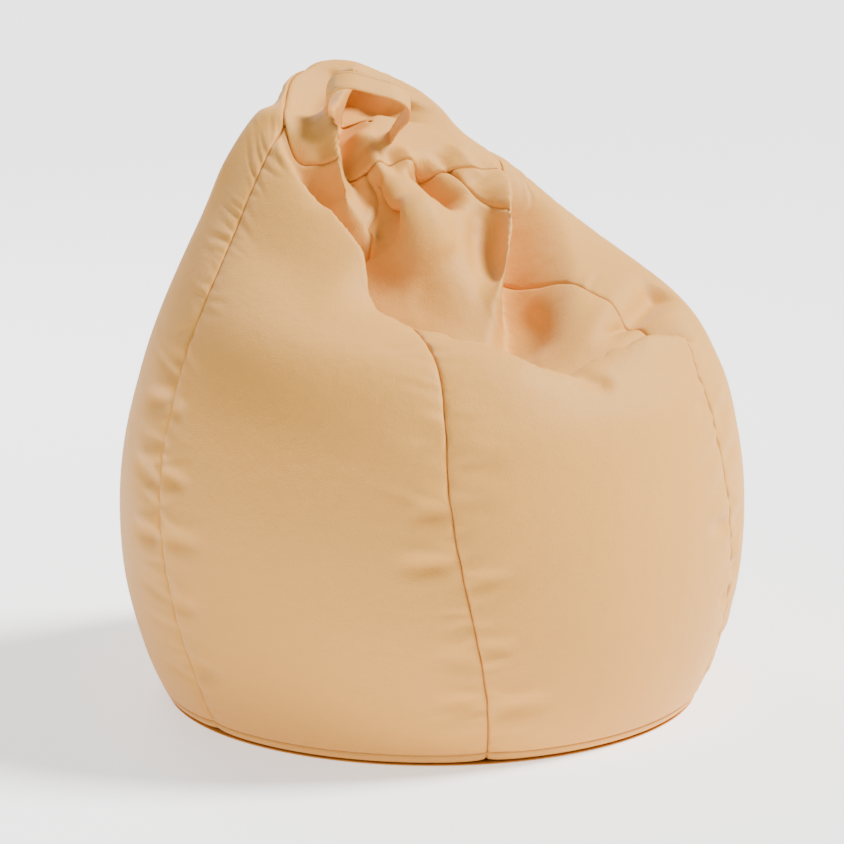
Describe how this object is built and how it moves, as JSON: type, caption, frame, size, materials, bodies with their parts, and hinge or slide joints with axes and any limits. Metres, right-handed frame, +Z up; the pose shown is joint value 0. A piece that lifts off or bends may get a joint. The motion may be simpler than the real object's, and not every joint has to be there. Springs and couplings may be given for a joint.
{
  "type": "bean bag chair",
  "caption": "Pear-shaped bean bag chair: sewn side panels around a bead filling, a slumped neck with a carry handle, and a zipped flat base.",
  "frame": {"origin": "on the floor, under the middle of the bag's outline seen from above", "axes": "+Z up; -Y towards the side the seat opens to; +Y towards the side the neck is set back to; X along the zip in the base"},
  "size_m": [0.8002, 0.8019, 0.7912],
  "materials": {
    "cover_cloth": "matt apricot coated cloth with a fine grain",
    "liner_cloth": "thin white nonwoven",
    "beads": "expanded foam beads",
    "zip_tape": "woven polyester tape",
    "zip_teeth": "moulded plastic",
    "zip_metal": "satin plated zinc"
  },
  "bodies": {
    "bag": {"side_panel_back_right": "cover_cloth", "side_panel_back": "cover_cloth", "side_panel_back_left": "cover_cloth", "side_panel_front_left": "cover_cloth", "side_panel_front": "cover_cloth", "side_panel_front_right": "cover_cloth", "top_cap": "cover_cloth", "base_panel_front": "cover_cloth", "base_panel_back": "cover_cloth", "inner_liner": "liner_cloth", "bead_filling": "beads", "zip_tape_front": "zip_tape", "zip_tape_back": "zip_tape", "zip_teeth_front": "zip_teeth", "zip_teeth_back": "zip_teeth", "zip_bottom_stop": "zip_metal", "zip_top_stops": "zip_metal", "handle_end_left": "cover_cloth", "handle_end_right": "cover_cloth"},
    "handle": {"handle_strap": "cover_cloth"},
    "zip_slider": {"zip_slider": "zip_metal", "zip_bail": "zip_metal"},
    "zip_pull": {"zip_pull": "zip_metal"}
  },
  "joints": [
    {"name": "handle_flop", "type": "hinge", "parent": "bag", "child": "handle", "pos_m": [-0.004, 0.15206, 0.71961], "axis": [0.866, -0.4096, -0.2868], "range_deg": [-20, 45]},
    {"name": "zip_slide", "type": "slide", "parent": "bag", "child": "zip_slider", "axis": [-1, 0, 0], "range_m": [0, 0.445]},
    {"name": "pull_swing", "type": "hinge", "parent": "zip_slider", "child": "zip_pull", "pos_m": [0.2225, 0, 0.0041], "axis": [0, -1, 0], "range_deg": [0, 170]}
  ]
}
